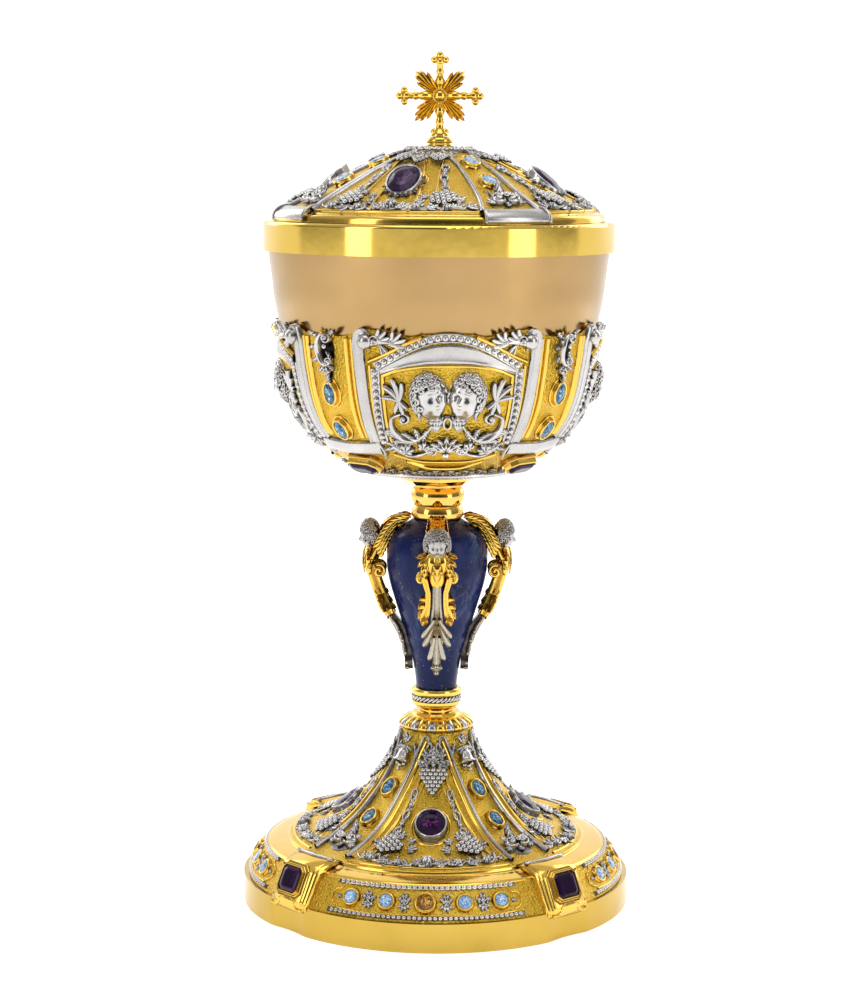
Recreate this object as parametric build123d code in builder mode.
from build123d import *
import math
import os

# Lidded ciborium: a gilt bowl in an openwork cage, on a stone baluster stem and a lobed foot, with a lift-off domed lid and cross finial.
# Frame: origin on the centre of the foot's resting plane, +Z up along the stem, -Y towards the front. All lengths are millimetres.

os.makedirs("parts", exist_ok=True)

# ---- driving dimensions -------------------------------------------------
FOOT_R = 68.8          # greatest radius of the lobed plinth
PLINTH_H = 10.0        # plain band of the foot
ROD_R = 3.0            # tie rod that clamps the whole stack
BORE_R = 3.2           # clearance bore through every stem piece
STUD_R = 1.9           # finial stud
STUD_BORE_R = 2.0
FOOT_TURN = -3.0       # the foot's front panel, degrees from the front
CUP_TURN = 3.5         # the cup's front panel
LID_TURN = -18.0       # the lid's front panel: the lid lies as it was put down
CORNERS = (45, 135, 225, 315)
PANELS = (0, 90, 180, 270)

# ---- outer profiles, (radius, height) from the top or bottom edge ---------
FOOT = [(12.2, 61.9), (12.9, 58.0), (13.9, 55.0), (15.6, 51.0), (18.0, 47.3), (21.0, 43.2), (25.5, 38.2),
        (31.0, 33.0), (38.0, 28.6), (46.0, 25.2), (52.4, 23.2)]
STEP = [(52.4, 22.2), (58.2, 21.4), (59.9, 20.9), (66.9, 10.05)]
CAGE = [(57.3, 207.5), (56.2, 199.0), (54.6, 190.0), (52.6, 182.0), (49.2, 174.3), (45.3, 169.0), (40.0, 163.2),
        (33.5, 159.0), (27.0, 154.9)]
BOWL = [(59.9, 240.0), (59.7, 234.0), (59.0, 228.0), (58.1, 221.0), (57.2, 214.0), (56.2, 209.0), (54.8, 199.0),
        (53.1, 190.0), (51.1, 182.0), (47.6, 174.8), (43.7, 169.8), (38.4, 164.6), (32.0, 160.5), (25.0, 157.6)]
DOME = [(55.0, 244.9), (50.0, 247.6), (46.0, 249.6), (37.0, 254.3), (28.0, 258.8), (19.0, 262.6), (10.0, 265.6), (4.2, 266.6)]
LAPIS = [(7.2, 74.9), (7.3, 78.0), (7.8, 82.0), (8.5, 86.4), (9.9, 91.7), (11.5, 97.1), (13.3, 102.6), (14.9, 107.9),
         (16.7, 113.9), (17.7, 119.5), (17.9, 123.8), (17.5, 128.0), (15.9, 131.6), (12.3, 134.6), (8.6, 136.8)]


def direction(theta):
    t = math.radians(theta)
    return Vector(math.sin(t), -math.cos(t), 0)


def meridian(theta):
    """Half-plane through the axis at an angle from the front: local x is radius, local y is height."""
    d = direction(theta)
    return Plane(origin=(0, 0, 0), x_dir=d, z_dir=d.cross(Vector(0, 0, 1)))


def on_profile(profile, z):
    """Radius and outward unit normal (radial, vertical) of a profile at a height."""
    for (r0, z0), (r1, z1) in zip(profile, profile[1:]):
        if min(z0, z1) <= z <= max(z0, z1):
            f = (z - z0) / (z1 - z0)
            dr, dz = r1 - r0, z1 - z0
            length = math.hypot(dr, dz)
            n = (abs(dz) / length, dr / length * (-1 if dz > 0 else 1))
            return r0 + f * (r1 - r0), n
    raise ValueError(z)


def seat(profile, theta, z, lift=0.0):
    """Plane tangent to a surface of revolution, its normal pointing out and local y pointing up the surface."""
    r, (nr, nz) = on_profile(profile, z)
    d = direction(theta)
    n = Vector(d.X * nr, d.Y * nr, nz)
    across = Vector(-d.Y, d.X, 0)
    return Plane(origin=Vector(d.X * r, d.Y * r, z) + n * lift, x_dir=across, z_dir=n)


def strip_points(profile, z_a, z_b, lift, thick, steps=5):
    """Closed outline, in radius and height, of a strip that follows a profile at a distance from it."""
    inner, outer = [], []
    for i in range(steps + 1):
        z = z_a + (z_b - z_a) * i / steps
        r, (nr, nz) = on_profile(profile, z)
        inner.append((r + nr * lift, z + nz * lift))
        outer.append((r + nr * (lift + thick), z + nz * (lift + thick)))
    return inner + outer[::-1]


def save(builder, name):
    builder.part.label = name
    export_step(builder.part, f"parts/{name}.step")


# ---- foot ----------------------------------------------------------------
with BuildPart() as foot_shell:
    with BuildSketch(Plane.XZ):
        with BuildLine():
            Spline(FOOT)
            Polyline(FOOT[-1], *STEP, (64.6, 10.05), (57.8, 19.2), (51.4, 20.4))
            Spline([(51.4, 20.4), (46.0, 22.2), (37.0, 26.4), (29.8, 31.2), (24.2, 36.6), (19.6, 41.8), (16.6, 46.0),
                    (14.2, 50.0), (12.5, 54.0), (11.4, 58.0), (10.8, 60.3)])
            Polyline((10.8, 60.3), (BORE_R, 60.3), (BORE_R, 61.9), (12.2, 61.9))
        make_face()
    revolve(axis=Axis.Z)
save(foot_shell, "foot_shell")

with BuildPart() as foot_plinth:
    with BuildSketch(Plane.XY):
        with BuildLine():
            def rim(radius, theta):
                d = direction(theta + FOOT_TURN)
                return (d.X * radius, d.Y * radius)
            for k in PANELS:
                ThreePointArc(rim(68.2, k - 36.5), rim(FOOT_R, k), rim(68.2, k + 36.5))
                Line(rim(68.2, k + 36.5), rim(67.9, k + 38.4))
                ThreePointArc(rim(67.9, k + 38.4), rim(66.7, k + 45), rim(67.9, k + 51.6))
                Line(rim(67.9, k + 51.6), rim(68.2, k + 53.5))
        make_face()
        Circle(63.2, mode=Mode.SUBTRACT)
    extrude(amount=PLINTH_H)
save(foot_plinth, "foot_plinth")

with BuildPart() as foot_corner_blocks:
    for k in CORNERS:
        with BuildSketch(meridian(k + FOOT_TURN).offset(-8.6)):
            with BuildLine():
                Polyline((67.05, 10.1), (68.3, 10.1), (68.3, 11.6), (63.4, 22.0), (62.6, 22.8), (56.6, 24.6),
                         (53.4, 24.9), (53.4, 22.5), (58.3, 21.8), (60.5, 21.1), close=True)
            make_face()
        extrude(amount=17.2)
save(foot_corner_blocks, "foot_corner_blocks")

RIB_OFFSET = [(60.0, 6.4), (57.0, 5.0), (52.0, 4.5), (46.0, 4.9), (40.0, 5.5), (33.0, 6.2), (28.6, 7.0), (25.4, 7.8), (23.5, 8.3)]
with BuildPart() as foot_ribs:
    for k in CORNERS:
        for side in (-1, 1):
            for z, half in RIB_OFFSET:
                r, _ = on_profile(FOOT, z)
                s = seat(FOOT, k + FOOT_TURN + side * math.degrees(math.asin(half / r)), z, 0.75)
                with BuildSketch(Plane(origin=s.origin, x_dir=s.x_dir, z_dir=s.y_dir)):
                    Rectangle(1.2, 1.0)
            loft(ruled=True)
save(foot_ribs, "foot_ribs")

with BuildPart() as foot_bead_rows:
    for k in PANELS:
        for r, z, half in ((59.9, 21.1, 27.5), (66.35, 11.2, 30.0)):
            with BuildSketch(meridian(k + FOOT_TURN - half)):
                with Locations((r + 0.75, z + 0.55)):
                    Circle(0.75)
            revolve(axis=Axis.Z, revolution_arc=2 * half)
save(foot_bead_rows, "foot_bead_rows")

with BuildPart() as foot_garlands:
    for k in PANELS:
        with BuildSketch(meridian(k + FOOT_TURN - 26)):
            with BuildLine():
                Polyline(strip_points(FOOT, 26.6, 23.4, 0.15, 1.2), close=True)
            make_face()
        revolve(axis=Axis.Z, revolution_arc=52)
        for a, b in ((15.5, 20.0), (-20.0, -15.5)):
            with BuildSketch(meridian(k + FOOT_TURN + a)):
                with BuildLine():
                    Polyline(strip_points(FOOT, 39.5, 29.4, 0.15, 0.9), close=True)
                make_face()
            revolve(axis=Axis.Z, revolution_arc=b - a)
save(foot_garlands, "foot_garlands")

with BuildPart() as foot_grape_bunches:
    for k in PANELS:
        with BuildSketch(meridian(k + FOOT_TURN - 11)):
            with BuildLine():
                Polyline(strip_points(FOOT, 59.0, 41.5, 0.15, 2.0, 7), close=True)
            make_face()
        revolve(axis=Axis.Z, revolution_arc=22)
save(foot_grape_bunches, "foot_grape_bunches")

with BuildPart() as foot_bell_drops:
    for k in CORNERS:
        with BuildSketch(meridian(k + FOOT_TURN - 11.5)):
            with BuildLine():
                Polyline(strip_points(FOOT, 60.4, 48.4, 0.15, 3.0, 6), close=True)
            make_face()
        revolve(axis=Axis.Z, revolution_arc=23)
save(foot_bell_drops, "foot_bell_drops")

with BuildPart() as foot_scrolls:
    for k in CORNERS:
        with BuildSketch(meridian(k + FOOT_TURN - 7.0)):
            with BuildLine():
                Polyline(strip_points(FOOT, 28.4, 25.0, 0.15, 3.2, 3), close=True)
            make_face()
        revolve(axis=Axis.Z, revolution_arc=14)
save(foot_scrolls, "foot_scrolls")


def bezels(*groups):
    """Oval settings standing on a surface, each with a pocket for its stone."""
    with BuildPart() as ring:
        for places, half_x, half_y, wall, height, depth in groups:
            for profile, theta, z, lift in places:
                with BuildSketch(seat(profile, theta, z, lift)):
                    Ellipse(half_x + wall, half_y + wall)
                extrude(amount=height)
                with BuildSketch(seat(profile, theta, z, lift + height - depth)):
                    Ellipse(half_x, half_y)
                extrude(amount=depth, mode=Mode.SUBTRACT)
    return ring


def stones(places, half_x, half_y, height, depth, crown, table=0.62):
    """The stones that sit in those pockets: a girdle and a raised crown."""
    a, b = half_x - 0.02, half_y - 0.02
    with BuildPart() as gem:
        for profile, theta, z, lift in places:
            with BuildSketch(seat(profile, theta, z, lift + height - depth)):
                Ellipse(a, b)
            extrude(amount=depth)
            with BuildSketch(seat(profile, theta, z, lift + height)):
                Ellipse(a, b)
            with BuildSketch(seat(profile, theta, z, lift + height + crown)):
                Ellipse(a * table, b * table)
            loft()
    return gem


places = [(FOOT, k + FOOT_TURN, 33.0, 0.45) for k in PANELS]
foot_oval_cups = bezels((places, 4.8, 6.0, 0.8, 2.6, 1.0))
foot_oval_amethysts = stones(places, 4.8, 6.0, 2.6, 1.0, 1.0)
save(foot_oval_cups, "foot_oval_cups")
save(foot_oval_amethysts, "foot_oval_amethysts")

places = [(FOOT, k + FOOT_TURN, z, 0.3) for k in CORNERS for z in (42.3, 33.0)]
foot_oval_bezels = bezels((places, 2.5, 3.4, 0.7, 1.5, 0.7))
foot_oval_topazes = stones(places, 2.5, 3.4, 1.5, 0.7, 0.6)
save(foot_oval_bezels, "foot_oval_bezels")
save(foot_oval_topazes, "foot_oval_topazes")

FRIEZE = [(59.9, 20.9), (66.9, 10.05)]
topaz_places = [(FRIEZE, k + FOOT_TURN + a, 15.6, 0.05) for k in PANELS for a in (-23.4, -12.0, 12.0, 23.4)]
citrine_places = [(FRIEZE, k + FOOT_TURN, 15.6, 0.05) for k in PANELS]
foot_round_bezels = bezels((topaz_places, 2.45, 2.451, 0.6, 1.4, 0.7), (citrine_places, 2.95, 2.951, 0.8, 1.8, 0.9))
foot_round_topazes = stones(topaz_places, 2.45, 2.451, 1.4, 0.7, 0.7)
foot_citrines = stones(citrine_places, 2.95, 2.951, 1.8, 0.9, 0.7)
save(foot_round_bezels, "foot_round_bezels")
save(foot_round_topazes, "foot_round_topazes")
save(foot_citrines, "foot_citrines")

with BuildPart() as foot_frieze_leaves:
    for k in PANELS:
        for a in (-17.7, -6.6, 6.6, 17.7):
            with BuildSketch(seat(FRIEZE, k + FOOT_TURN + a, 15.6, 0.02)):
                Rectangle(1.9 if abs(a) < 10 else 3.0, 4.0)
            extrude(amount=0.6)
save(foot_frieze_leaves, "foot_frieze_leaves")

BLOCK_FACE = [(63.4, 22.0), (68.3, 11.6)]
with BuildPart() as foot_cut_bezels:
    for k in CORNERS:
        base = seat(BLOCK_FACE, k + FOOT_TURN, 17.0, 0.02)
        with BuildSketch(base):
            Rectangle(9.2, 10.2)
            chamfer(vertices(), 1.4)
        extrude(amount=1.8)
        with BuildSketch(base.offset(1.0)):
            Rectangle(7.4, 8.4)
            chamfer(vertices(), 1.1)
        extrude(amount=0.8, mode=Mode.SUBTRACT)

with BuildPart() as foot_cut_amethysts:
    for k in CORNERS:
        base = seat(BLOCK_FACE, k + FOOT_TURN, 17.0, 0.02)
        with BuildSketch(base.offset(1.0)):
            Rectangle(7.36, 8.36)
            chamfer(vertices(), 1.08)
        extrude(amount=0.8)
        with BuildSketch(base.offset(1.8)):
            Rectangle(7.36, 8.36)
            chamfer(vertices(), 1.08)
        with BuildSketch(base.offset(2.6)):
            Rectangle(5.2, 6.2)
            chamfer(vertices(), 0.76)
        loft(ruled=True)
save(foot_cut_bezels, "foot_cut_bezels")
save(foot_cut_amethysts, "foot_cut_amethysts")

with BuildPart() as foot_bottom_plate:
    with BuildSketch(Plane.XY.offset(6.5)):
        Circle(63.1)
        Circle(BORE_R, mode=Mode.SUBTRACT)
    extrude(amount=1.5)
save(foot_bottom_plate, "foot_bottom_plate")

with BuildPart() as tie_rod_washer:
    with BuildSketch(Plane.XY.offset(5.4)):
        Circle(9.0)
        Circle(BORE_R, mode=Mode.SUBTRACT)
    extrude(amount=1.1)
save(tie_rod_washer, "tie_rod_washer")

with BuildPart() as tie_rod_nut:
    with BuildSketch(Plane.XY.offset(1.6)):
        RegularPolygon(5.77, 6)
        Circle(ROD_R + 0.03, mode=Mode.SUBTRACT)
    extrude(amount=3.8)
save(tie_rod_nut, "tie_rod_nut")

# ---- stem ------------------------------------------------------------------
with BuildPart() as tie_rod:
    with BuildSketch(Plane.XY.offset(1.2)):
        Circle(ROD_R)
    extrude(amount=153.2)
    with BuildSketch(Plane.XY.offset(154.4)):
        Circle(9.0)
    extrude(amount=1.0)
    chamfer(edges().sort_by(Axis.Z)[0], 0.5)
save(tie_rod, "tie_rod")

with BuildPart() as calyx_disc:
    with BuildSketch(Plane.XZ):
        with BuildLine():
            Polyline((BORE_R, 61.95), (11.6, 61.95), (13.2, 62.5))
            Spline([(13.2, 62.5), (13.8, 63.3), (13.3, 64.7), (11.4, 66.0), (9.0, 66.7)])
            Polyline((9.0, 66.7), (9.0, 67.2), (8.4, 67.6), (6.2, 67.6), (5.8, 67.0), (BORE_R, 67.0), (BORE_R, 61.95))
        make_face()
    revolve(axis=Axis.Z)
save(calyx_disc, "calyx_disc")

with BuildPart() as lower_collar:
    with BuildSketch(Plane.XZ):
        with BuildLine():
            Polyline((BORE_R, 67.05), (5.6, 67.05), (5.5, 68.4))
            Spline([(5.5, 68.4), (6.6, 69.0), (8.1, 69.9), (8.75, 71.1)])
            Polyline((8.75, 71.1), (8.75, 71.75), (7.9, 71.8), (7.9, 73.9), (8.6, 73.95))
            Spline([(8.6, 73.95), (8.95, 74.9), (8.8, 76.0), (8.2, 76.4)])
            Polyline((8.2, 76.4), (7.35, 76.4), (7.35, 74.85), (BORE_R, 74.85), (BORE_R, 67.05))
        make_face()
    revolve(axis=Axis.Z)
save(lower_collar, "lower_collar")

with BuildPart() as rope_band:
    with BuildSketch(Plane.XZ):
        with Locations((8.42, 72.85)):
            Rectangle(0.9, 1.96)
    revolve(axis=Axis.Z)
save(rope_band, "rope_band")

with BuildPart() as lapis_baluster:
    with BuildSketch(Plane.XZ):
        with BuildLine():
            Spline(LAPIS)
            Polyline(LAPIS[-1], (BORE_R, 136.8), (BORE_R, 74.9), LAPIS[0])
        make_face()
    revolve(axis=Axis.Z)
save(lapis_baluster, "lapis_baluster")

# brackets: each is a winged head over a pair of S-scrolls and a hanging leaf
SCROLL = [(23.6, 121.6), (22.8, 118.6), (21.6, 114.8), (20.3, 110.8), (18.7, 107.0), (16.6, 103.0)]
with BuildPart() as bracket_scrolls:
    for k in PANELS:
        for side in (-1, 1):
            for i, (r, z) in enumerate(SCROLL):
                a = SCROLL[max(i - 1, 0)]
                b = SCROLL[min(i + 1, len(SCROLL) - 1)]
                d = direction(k)
                run = Vector(d.X * (b[0] - a[0]), d.Y * (b[0] - a[0]), b[1] - a[1]).normalized()
                across = Vector(-d.Y, d.X, 0)
                centre = Vector(d.X * r, d.Y * r, z) + across * (side * (4.1, 3.9, 3.1, 3.2, 3.9, 4.4)[i])
                with BuildSketch(Plane(origin=centre, x_dir=across, z_dir=run)):
                    Rectangle((3.2, 2.8, 2.2, 2.4, 3.4, 2.6)[i], 3.6)
            loft(ruled=True)
        with BuildSketch(meridian(k).offset(-3.6)):
            with BuildLine():
                Polyline((9.9, 136.9), (12.6, 138.2), (16.0, 137.6), (19.4, 135.0), (21.6, 130.8), (25.4, 124.6), (26.1, 121.2), (25.0, 118.4),
                         (22.6, 118.2), (21.0, 121.6), (19.4, 125.6), (17.6, 129.4), (15.2, 132.9), (12.4, 135.6), close=True)
            make_face()
        extrude(amount=7.2)
save(bracket_scrolls, "bracket_scrolls")

with BuildPart() as bracket_heads:
    for k in PANELS:
        with BuildSketch(meridian(k)):
            with Locations((23.4, 130.9)):
                Ellipse(3.9, 5.1)
                with Locations((0, 0)):
                    Rectangle(9.0, 12.0, align=(Align.MAX, Align.CENTER), mode=Mode.SUBTRACT)
        d = direction(k)
        revolve(axis=Axis((d.X * 23.4, d.Y * 23.4, 130.9), (0, 0, 1)))
save(bracket_heads, "bracket_heads")

TAIL = [(23.6, 119.8), (23.1, 116.4), (21.7, 111.8), (19.7, 106.8), (16.5, 102.0), (13.7, 98.2), (12.1, 94.4), (11.1, 90.2), (10.5, 86.8), (10.4, 84.0)]
with BuildPart() as bracket_leaves:
    for k in PANELS:
        for i, (r, z) in enumerate(TAIL):
            a = TAIL[max(i - 1, 0)]
            b = TAIL[min(i + 1, len(TAIL) - 1)]
            d = direction(k)
            run = Vector(d.X * (b[0] - a[0]), d.Y * (b[0] - a[0]), b[1] - a[1]).normalized()
            across = Vector(-d.Y, d.X, 0)
            with BuildSketch(Plane(origin=Vector(d.X * r, d.Y * r, z), x_dir=across, z_dir=run)):
                Rectangle((2.0, 2.2, 2.6, 3.4, 5.0, 7.0, 8.4, 5.4, 4.0, 2.4)[i], 1.4)
        loft(ruled=True)
save(bracket_leaves, "bracket_leaves")

with BuildPart() as upper_knop:
    with BuildSketch(Plane.XZ):
        with BuildLine():
            Polyline((BORE_R, 136.85), (8.0, 136.85))
            Spline([(8.0, 136.85), (8.9, 137.5), (9.25, 139.3), (8.9, 141.0), (8.5, 141.9)])
            Spline([(8.5, 141.9), (9.1, 143.0), (9.6, 145.0), (9.2, 147.2), (8.3, 148.6)])
            Polyline((8.3, 148.6), (8.3, 149.6), (BORE_R, 149.6), (BORE_R, 136.85))
        make_face()
    revolve(axis=Axis.Z)
save(upper_knop, "upper_knop")

with BuildPart() as octagon_flange:
    with BuildSketch(Plane.XY.offset(149.65)):
        RegularPolygon(11.4, 8, rotation=CUP_TURN)
    with BuildSketch(Plane.XY.offset(151.2)):
        RegularPolygon(13.3, 8, rotation=CUP_TURN)
    loft(ruled=True)
    with BuildSketch(Plane.XY.offset(151.2)):
        RegularPolygon(13.3, 8, rotation=CUP_TURN)
    extrude(amount=1.7)
    with BuildSketch(Plane.XY.offset(149.65)):
        Circle(BORE_R)
    extrude(amount=4, mode=Mode.SUBTRACT)
save(octagon_flange, "octagon_flange")

# ---- cup ------------------------------------------------------------------
with BuildPart() as cage_shell:
    with BuildSketch(Plane.XZ):
        with BuildLine():
            Spline(CAGE)
            Polyline(CAGE[-1], (24.0, 153.6), (14.0, 152.95), (BORE_R, 152.95), (BORE_R, 154.1), (13.8, 154.1), (23.6, 154.9),
                     (26.0, 156.0))
            Spline([(26.0, 156.0), (32.7, 160.0), (39.2, 164.0), (44.4, 169.7), (48.2, 174.8), (51.5, 182.3), (53.5, 190.2),
                    (55.1, 199.1), (56.2, 207.5)])
            Line((56.2, 207.5), CAGE[0])
        make_face()
    revolve(axis=Axis.Z)
save(cage_shell, "cage_shell")

with BuildPart() as bowl:
    with BuildSketch(Plane.XZ):
        with BuildLine():
            Line((0, 155.5), (10.0, 155.5))
            Spline([(10.0, 155.5), (19.0, 156.0)] + BOWL[::-1], tangents=[(1, 0), (0.05, 1)])
            Line(BOWL[0], (58.7, 240.0))
            Spline([(58.7, 240.0), (58.5, 234.0), (57.8, 228.0), (56.9, 221.2), (56.0, 214.2), (55.0, 209.2), (53.6, 199.2),
                    (51.9, 190.3), (49.95, 182.5), (46.6, 175.5), (42.8, 170.7), (37.6, 165.6), (31.3, 161.6), (24.6, 158.8),
                    (18.8, 157.2), (10.0, 156.8)], tangents=[(-0.05, -1), (-1, 0)])
            Polyline((10.0, 156.8), (0, 156.8), (0, 155.5))
        make_face()
    revolve(axis=Axis.Z)
save(bowl, "bowl")

with BuildPart() as cage_ribs:
    for k in PANELS:
        for a in (-28.8, 28.8):
            with BuildSketch(meridian(k + CUP_TURN + a - 1.6)):
                with BuildLine():
                    Polyline(strip_points(CAGE, 206.8, 168.8, 0.15, 2.0, 8), close=True)
                make_face()
            revolve(axis=Axis.Z, revolution_arc=3.2)
save(cage_ribs, "cage_ribs")

with BuildPart() as cage_bead_frames:
    for k in PANELS:
        for a in (-25.2, 25.2):
            with BuildSketch(meridian(k + CUP_TURN + a - 0.9)):
                with BuildLine():
                    Polyline(strip_points(CAGE, 195.0, 169.0, 0.15, 1.6, 6), close=True)
                make_face()
            revolve(axis=Axis.Z, revolution_arc=1.8)
        for a, z in ((-23.2, 196.4), (-18.0, 199.2), (-12.6, 201.7), (-7.0, 203.5), (-1.2, 204.2)):
            for side in (-1, 1):
                lo, hi = (a, a + 4.6) if side < 0 else (-a - 4.6, -a)
                if hi > 1.4 and side < 0:
                    hi = 1.2
                if side > 0 and a > -2:
                    continue
                with BuildSketch(meridian(k + CUP_TURN + lo)):
                    with BuildLine():
                        Polyline(strip_points(CAGE, z + 0.9, z - 0.9, 0.15, 1.6, 1), close=True)
                    make_face()
                revolve(axis=Axis.Z, revolution_arc=min(hi, lo + 4.6) - lo)
save(cage_bead_frames, "cage_bead_frames")

with BuildPart() as cage_arches:
    for k in PANELS:
        with BuildSketch(meridian(k + CUP_TURN - 15)):
            with BuildLine():
                Polyline(strip_points(CAGE, 200.0, 196.0, 0.15, 0.8, 1), close=True)
            make_face()
        revolve(axis=Axis.Z, revolution_arc=30)
save(cage_arches, "cage_arches")

with BuildPart() as cage_cherubs:
    for k in PANELS:
        for a, z, w, h in ((-6.2, 184.6, 4.4, 5.4), (6.2, 184.6, 4.4, 5.4)):
            with BuildSketch(seat(CAGE, k + CUP_TURN + a, z, 0.35)):
                Ellipse(w, h)
            extrude(amount=2.8)
        with BuildSketch(meridian(k + CUP_TURN - 13)):
            with BuildLine():
                Polyline(strip_points(CAGE, 176.6, 166.6, 0.15, 1.8, 3), close=True)
            make_face()
        revolve(axis=Axis.Z, revolution_arc=26)
save(cage_cherubs, "cage_cherubs")

with BuildPart() as cage_scrolls:
    for k in CORNERS:
        with BuildSketch(meridian(k + CUP_TURN - 5.5)):
            with BuildLine():
                Polyline(strip_points(CAGE, 206.6, 191.0, 0.15, 2.6, 4), close=True)
            make_face()
        revolve(axis=Axis.Z, revolution_arc=11)
save(cage_scrolls, "cage_scrolls")

with BuildPart() as cage_leaf_sprays:
    for k in PANELS:
        for lo, hi in ((-27.0, -15.0), (15.0, 27.0)):
            with BuildSketch(meridian(k + CUP_TURN + lo)):
                with BuildLine():
                    Polyline(strip_points(CAGE, 207.2, 203.4, 0.15, 1.6, 2), close=True)
                make_face()
            revolve(axis=Axis.Z, revolution_arc=hi - lo)
save(cage_leaf_sprays, "cage_leaf_sprays")

places = [(CAGE, k + CUP_TURN, z, 0.1) for k in CORNERS for z in (185.0, 172.6)]
cage_bezels = bezels((places, 2.5, 3.5, 0.7, 1.6, 0.7))
cage_topazes = stones(places, 2.5, 3.5, 1.6, 0.7, 0.6)
save(cage_bezels, "cage_bezels")
save(cage_topazes, "cage_topazes")

with BuildPart() as cage_corner_plates:
    for k in CORNERS:
        with BuildSketch(meridian(k + CUP_TURN - 17.5)):
            with BuildLine():
                Polyline(strip_points(CAGE, 168.0, 164.2, 0.15, 1.2, 2), close=True)
            make_face()
        revolve(axis=Axis.Z, revolution_arc=35)
save(cage_corner_plates, "cage_corner_plates")

with BuildPart() as cage_octagon_bezels:
    for k in CORNERS:
        base = seat(CAGE, k + CUP_TURN, 160.9, 0.05)
        with BuildSketch(base):
            Rectangle(14.4, 7.8)
            chamfer(vertices(), 2.0)
        extrude(amount=3.4)
        with BuildSketch(base.offset(2.6)):
            Rectangle(12.8, 6.2)
            chamfer(vertices(), 1.5)
        extrude(amount=0.8, mode=Mode.SUBTRACT)

with BuildPart() as cage_octagon_amethysts:
    for k in CORNERS:
        base = seat(CAGE, k + CUP_TURN, 160.9, 0.05)
        with BuildSketch(base.offset(2.6)):
            Rectangle(12.76, 6.16)
            chamfer(vertices(), 1.48)
        extrude(amount=0.8)
        with BuildSketch(base.offset(3.4)):
            Rectangle(12.76, 6.16)
            chamfer(vertices(), 1.48)
        with BuildSketch(base.offset(4.1)):
            Rectangle(9.8, 3.6)
            chamfer(vertices(), 1.0)
        loft(ruled=True)
save(cage_octagon_bezels, "cage_octagon_bezels")
save(cage_octagon_amethysts, "cage_octagon_amethysts")

with BuildPart() as cage_wreath:
    with BuildSketch(Plane.XZ):
        with Locations((26.2, 152.9)):
            Ellipse(1.5, 1.0)
    revolve(axis=Axis.Z)
save(cage_wreath, "cage_wreath")

# ---- lid --------------------------------------------------------------------
with BuildPart() as lid_band:
    with BuildSketch(Plane.XZ):
        with BuildLine():
            Polyline((60.2, 231.3), (61.3, 231.3), (61.3, 240.4))
            RadiusArc((61.3, 240.4), (60.1, 241.6), -1.2)
            Polyline((60.1, 241.6), (55.8, 241.6), (55.8, 240.45), (60.2, 240.45), (60.2, 231.3))
        make_face()
    revolve(axis=Axis.Z)
save(lid_band, "lid_band")

with BuildPart() as lid_dome:
    with BuildSketch(Plane.XZ):
        with BuildLine():
            Polyline((54.2, 241.65), (57.6, 241.65), (57.6, 243.3), (56.9, 244.2), (55.6, 244.3), DOME[0])
            Spline(DOME)
            Polyline(DOME[-1], (STUD_BORE_R, 266.6), (STUD_BORE_R, 265.4), (4.0, 265.4))
            Spline([(4.0, 265.4), (9.7, 264.4), (18.6, 261.4), (27.5, 257.6), (36.5, 253.1), (45.4, 248.5), (54.2, 243.9)])
            Line((54.2, 243.9), (54.2, 241.65))
        make_face()
    revolve(axis=Axis.Z)
save(lid_dome, "lid_dome")

with BuildPart() as lid_ribs:
    for k in CORNERS:
        for a in (-11.4, 11.4):
            for z in (264.6, 261.0, 255.0, 249.6, 245.3):
                s = seat(DOME, k + LID_TURN + a, z, 0.65)
                with BuildSketch(Plane(origin=s.origin, x_dir=s.x_dir, z_dir=s.y_dir)):
                    Rectangle(1.3, 1.0)
            loft(ruled=True)
        with BuildSketch(meridian(k + LID_TURN - 11.6)):
            with BuildLine():
                Polyline((57.7, 241.8), (58.6, 241.8), (58.3, 244.6), (56.6, 246.0), (55.9, 245.9), (55.9, 244.5), (57.1, 244.4),
                         (57.7, 243.5), close=True)
            make_face()
        revolve(axis=Axis.Z, revolution_arc=23.2)
save(lid_ribs, "lid_ribs")

with BuildPart() as lid_garlands:
    for k in PANELS:
        with BuildSketch(meridian(k + LID_TURN - 30)):
            with BuildLine():
                Polyline(strip_points(DOME, 249.8, 245.2, 0.15, 1.2, 2), close=True)
            make_face()
        revolve(axis=Axis.Z, revolution_arc=60)
        for lo, hi in ((-23.5, -19.0), (19.0, 23.5)):
            with BuildSketch(meridian(k + LID_TURN + lo)):
                with BuildLine():
                    Polyline(strip_points(DOME, 259.6, 250.2, 0.15, 0.9, 2), close=True)
                make_face()
            revolve(axis=Axis.Z, revolution_arc=hi - lo)
save(lid_garlands, "lid_garlands")

with BuildPart() as lid_scrolls:
    for k in CORNERS:
        with BuildSketch(meridian(k + LID_TURN - 7.5)):
            with BuildLine():
                Polyline(strip_points(DOME, 251.6, 246.2, 0.15, 3.2, 2), close=True)
            make_face()
        revolve(axis=Axis.Z, revolution_arc=15)
save(lid_scrolls, "lid_scrolls")

with BuildPart() as lid_wreath:
    for k in PANELS:
        with BuildSketch(meridian(k + LID_TURN - 27)):
            with BuildLine():
                Polyline(strip_points(DOME, 265.2, 262.0, 0.15, 1.5, 2), close=True)
            make_face()
        revolve(axis=Axis.Z, revolution_arc=54)
save(lid_wreath, "lid_wreath")

places = [(DOME, k + LID_TURN, 255.6, 0.15) for k in PANELS]
lid_oval_cups = bezels((places, 4.8, 6.0, 0.8, 2.8, 1.0))
lid_oval_amethysts = stones(places, 4.8, 6.0, 2.8, 1.0, 1.0)
save(lid_oval_cups, "lid_oval_cups")
save(lid_oval_amethysts, "lid_oval_amethysts")

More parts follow.
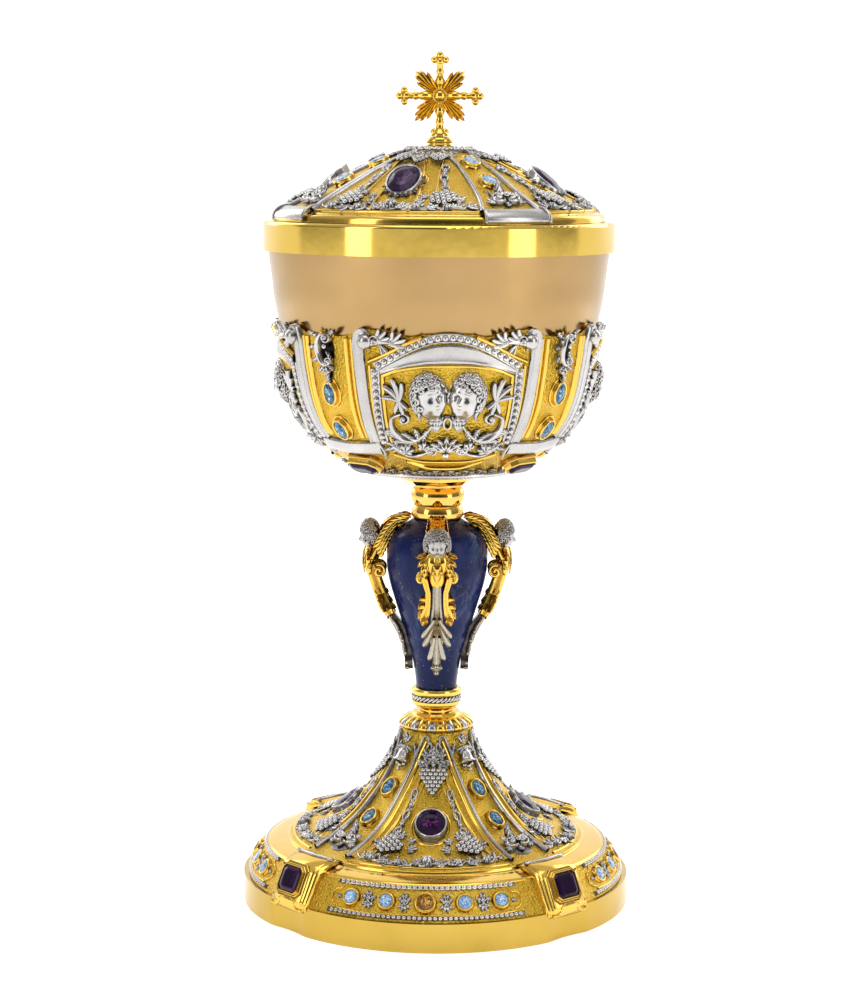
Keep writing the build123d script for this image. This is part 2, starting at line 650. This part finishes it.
places = [(DOME, k + LID_TURN, z, 0.1) for k in CORNERS for z in (261.2, 254.6)]
lid_oval_bezels = bezels((places, 2.5, 3.4, 0.7, 1.8, 0.7))
lid_oval_topazes = stones(places, 2.5, 3.4, 1.8, 0.7, 0.6)
save(lid_oval_bezels, "lid_oval_bezels")
save(lid_oval_topazes, "lid_oval_topazes")

with BuildPart() as lid_liner:
    with BuildSketch(Plane.XZ):
        with BuildLine():
            Polyline((57.1, 233.4), (58.2, 233.4), (58.2, 240.05), (59.8, 240.05), (59.8, 240.4), (53.4, 240.4), (52.6, 243.2))
            Spline([(52.6, 243.2), (44.8, 247.3), (36.0, 251.8), (27.2, 256.2), (18.3, 260.0), (9.5, 263.0), (4.0, 264.0)])
            Polyline((4.0, 264.0), (STUD_BORE_R, 264.0), (STUD_BORE_R, 263.0), (3.9, 263.0))
            Spline([(3.9, 263.0), (9.2, 262.0), (17.9, 259.1), (26.7, 255.3), (35.5, 250.9), (44.2, 246.4), (51.9, 242.2)])
            Polyline((51.9, 242.2), (52.7, 239.35), (57.1, 239.35), (57.1, 233.4))
        make_face()
    revolve(axis=Axis.Z)
save(lid_liner, "lid_liner")

with BuildPart() as finial_nut:
    with BuildSketch(Plane.XY.offset(259.6)):
        RegularPolygon(4.05, 6)
        Circle(STUD_R + 0.03, mode=Mode.SUBTRACT)
    extrude(amount=3.2)
save(finial_nut, "finial_nut")

with BuildPart() as finial_knob:
    with BuildSketch(Plane.XZ):
        with BuildLine():
            Polyline((STUD_BORE_R, 266.65), (4.3, 266.65))
            Spline([(4.3, 266.65), (4.7, 267.4), (4.5, 268.2)])
            Spline([(4.5, 268.2), (4.6, 269.0), (4.2, 269.9), (3.1, 270.5)])
            Polyline((3.1, 270.5), (STUD_BORE_R, 270.5), (STUD_BORE_R, 266.65))
        make_face()
    revolve(axis=Axis.Z)
save(finial_knob, "finial_knob")

CROSS_Z = 284.4
ARM = [(-1.5, 0.0), (-2.0, 5.0), (-1.3, 8.0), (-1.2, 10.8), (-2.6, 12.6), (-1.4, 13.6), (-1.5, 14.6), (0.0, 15.4),
       (1.5, 14.6), (1.4, 13.6), (2.6, 12.6), (1.2, 10.8), (1.3, 8.0), (2.0, 5.0), (1.5, 0.0)]


def turned(points, angle):
    c, s = math.cos(math.radians(angle)), math.sin(math.radians(angle))
    return [(c * x - s * y, s * x + c * y) for x, y in points]


with BuildPart() as finial_cross:
    with BuildSketch(Plane(origin=(0, 1.3, CROSS_Z), x_dir=(1, 0, 0), z_dir=(0, -1, 0))):
        for turn in (0, 90, 180, 270):
            with BuildLine():
                Polyline(turned(ARM, turn), close=True)
            make_face()
            for lean, reach in ((31, 10.4), (45, 12.2), (59, 10.4)):
                with BuildLine():
                    Polyline(turned([(-0.9, 0.0), (-0.35, reach), (0.35, reach), (0.9, 0.0)], turn + lean), close=True)
                make_face()
        with BuildLine():
            Polyline((-3.0, 270.55 - CROSS_Z), (3.0, 270.55 - CROSS_Z), (1.5, 274.0 - CROSS_Z), (1.4, 278.0 - CROSS_Z),
                     (-1.4, 278.0 - CROSS_Z), (-1.5, 274.0 - CROSS_Z), close=True)
        make_face()
    extrude(amount=2.6)
    with Locations((0, 0, CROSS_Z)):
        Sphere(2.4)
    with BuildSketch(Plane.XY.offset(258.4)):
        Circle(STUD_R)
    extrude(amount=13.0)
save(finial_cross, "finial_cross")
